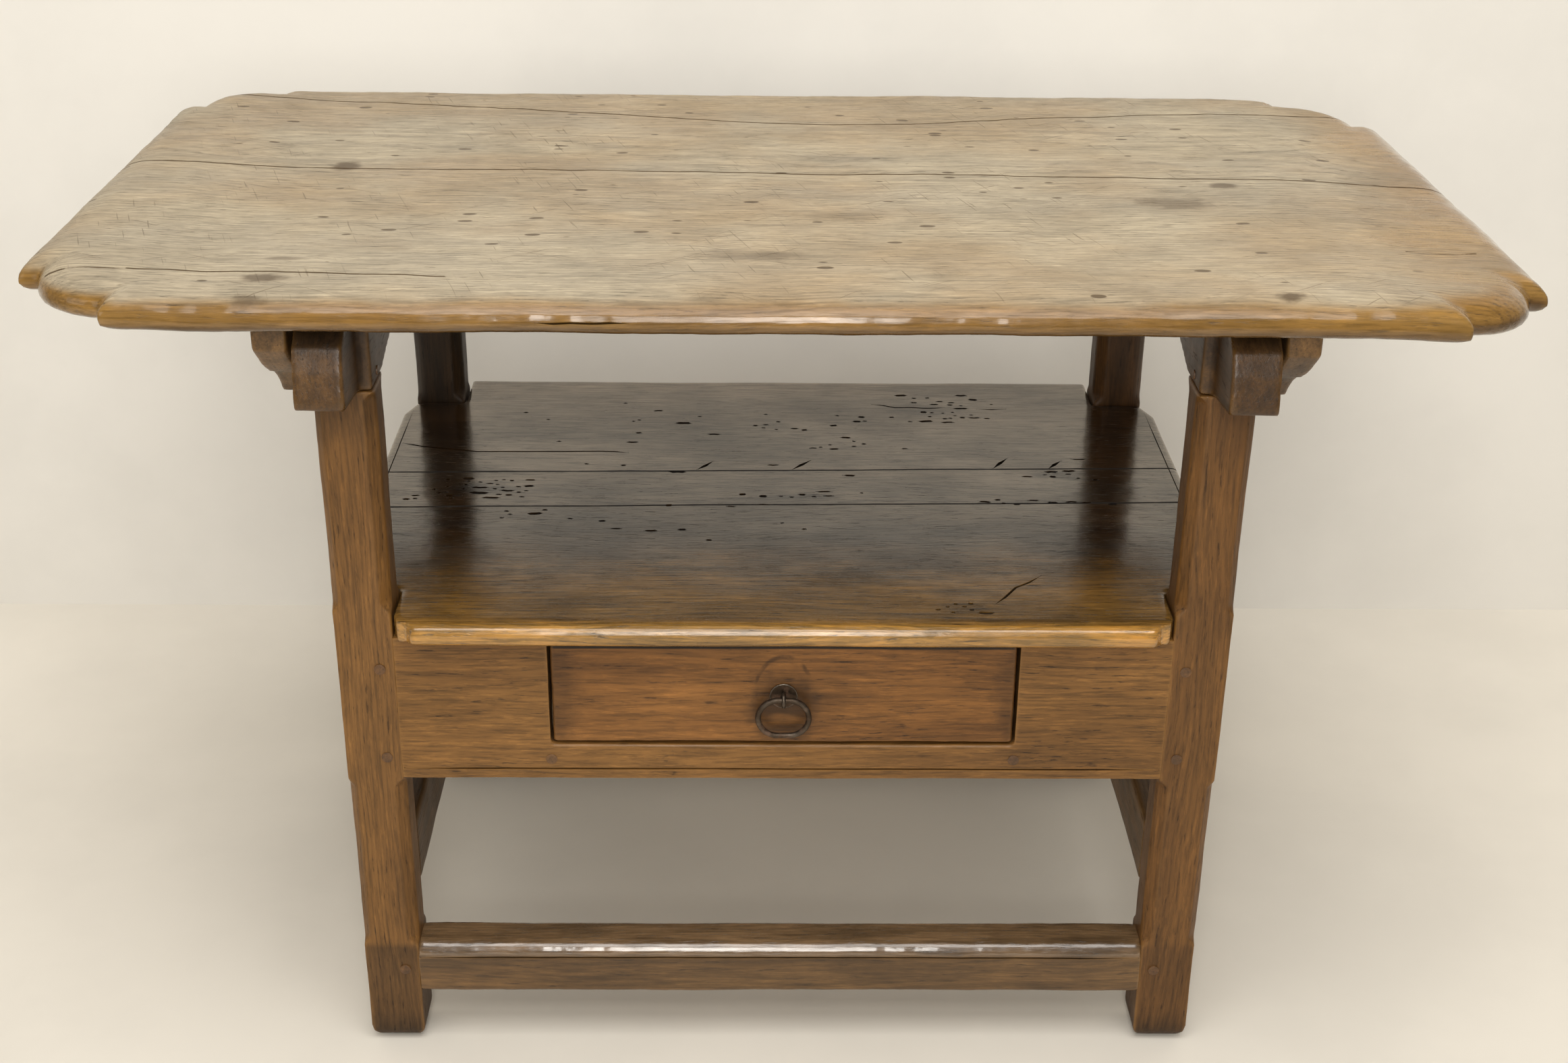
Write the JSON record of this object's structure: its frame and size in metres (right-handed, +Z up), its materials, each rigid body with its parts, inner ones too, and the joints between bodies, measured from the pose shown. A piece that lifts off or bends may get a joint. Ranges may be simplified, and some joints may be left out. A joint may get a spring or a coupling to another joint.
{
  "type": "table bench",
  "caption": "Oak table bench: a plank table top on battens tips up on rear pivot pins to become the back of a bench, with a plank seat and a drawer in a pegged frame.",
  "frame": {"origin": "on the floor, below the middle of the table top", "axes": "+X along the table's length, +Z up, the drawer faces -Y"},
  "size_m": [1.2, 0.65, 0.75],
  "materials": {
    "oak_top": "worn and waxed",
    "oak_seat": "dark, polished by use",
    "oak_frame": "waxed",
    "oak_pegs": "waxed end grain",
    "oak_drawer": "waxed",
    "oak_bare": "dry, unfinished",
    "iron": "wrought, dark patina"
  },
  "bodies": {
    "frame": {"seat_front_plank": "oak_seat", "seat_middle_plank": "oak_seat", "seat_back_plank": "oak_seat", "front_post_left": "oak_frame", "front_post_right": "oak_frame", "back_post_left": "oak_frame", "back_post_right": "oak_frame", "arm_left": "oak_frame", "arm_right": "oak_frame", "front_apron": "oak_frame", "back_apron": "oak_frame", "side_apron_left": "oak_frame", "side_apron_right": "oak_frame", "front_stretcher": "oak_frame", "back_stretcher": "oak_frame", "side_stretcher_left": "oak_frame", "side_stretcher_right": "oak_frame", "pivot_pin_left": "oak_frame", "pivot_pin_right": "oak_frame", "rail_pegs": "oak_pegs", "stretcher_pegs": "oak_pegs", "arm_pegs": "oak_pegs", "runner_pegs": "oak_pegs", "drawer_runner_left": "oak_bare", "drawer_runner_right": "oak_bare", "drawer_guide_left": "oak_bare", "drawer_guide_right": "oak_bare", "seat_nails": "iron"},
    "top": {"top_front_plank": "oak_top", "top_middle_plank": "oak_top", "top_back_plank": "oak_top", "batten_left": "oak_frame", "batten_right": "oak_frame", "top_nails": "iron"},
    "drawer": {"drawer_front": "oak_drawer", "drawer_side_left": "oak_bare", "drawer_side_right": "oak_bare", "drawer_back": "oak_bare", "drawer_bottom": "oak_bare", "drawer_nails": "iron", "ring_staple": "iron", "ring_rose": "iron"},
    "ring": {"ring_pull": "iron"}
  },
  "joints": [
    {"name": "top_tilt", "type": "hinge", "parent": "frame", "child": "top", "pos_m": [0, 0.235, 0.678], "axis": [-1, 0, 0], "range_deg": [0, 95]},
    {"name": "drawer_slide", "type": "slide", "parent": "frame", "child": "drawer", "axis": [0, -1, 0], "range_m": [0, 0.25]},
    {"name": "ring_swing", "type": "hinge", "parent": "drawer", "child": "ring", "pos_m": [0, -0.2615, 0.371], "axis": [-1, 0, 0], "range_deg": [0, 170]}
  ]
}
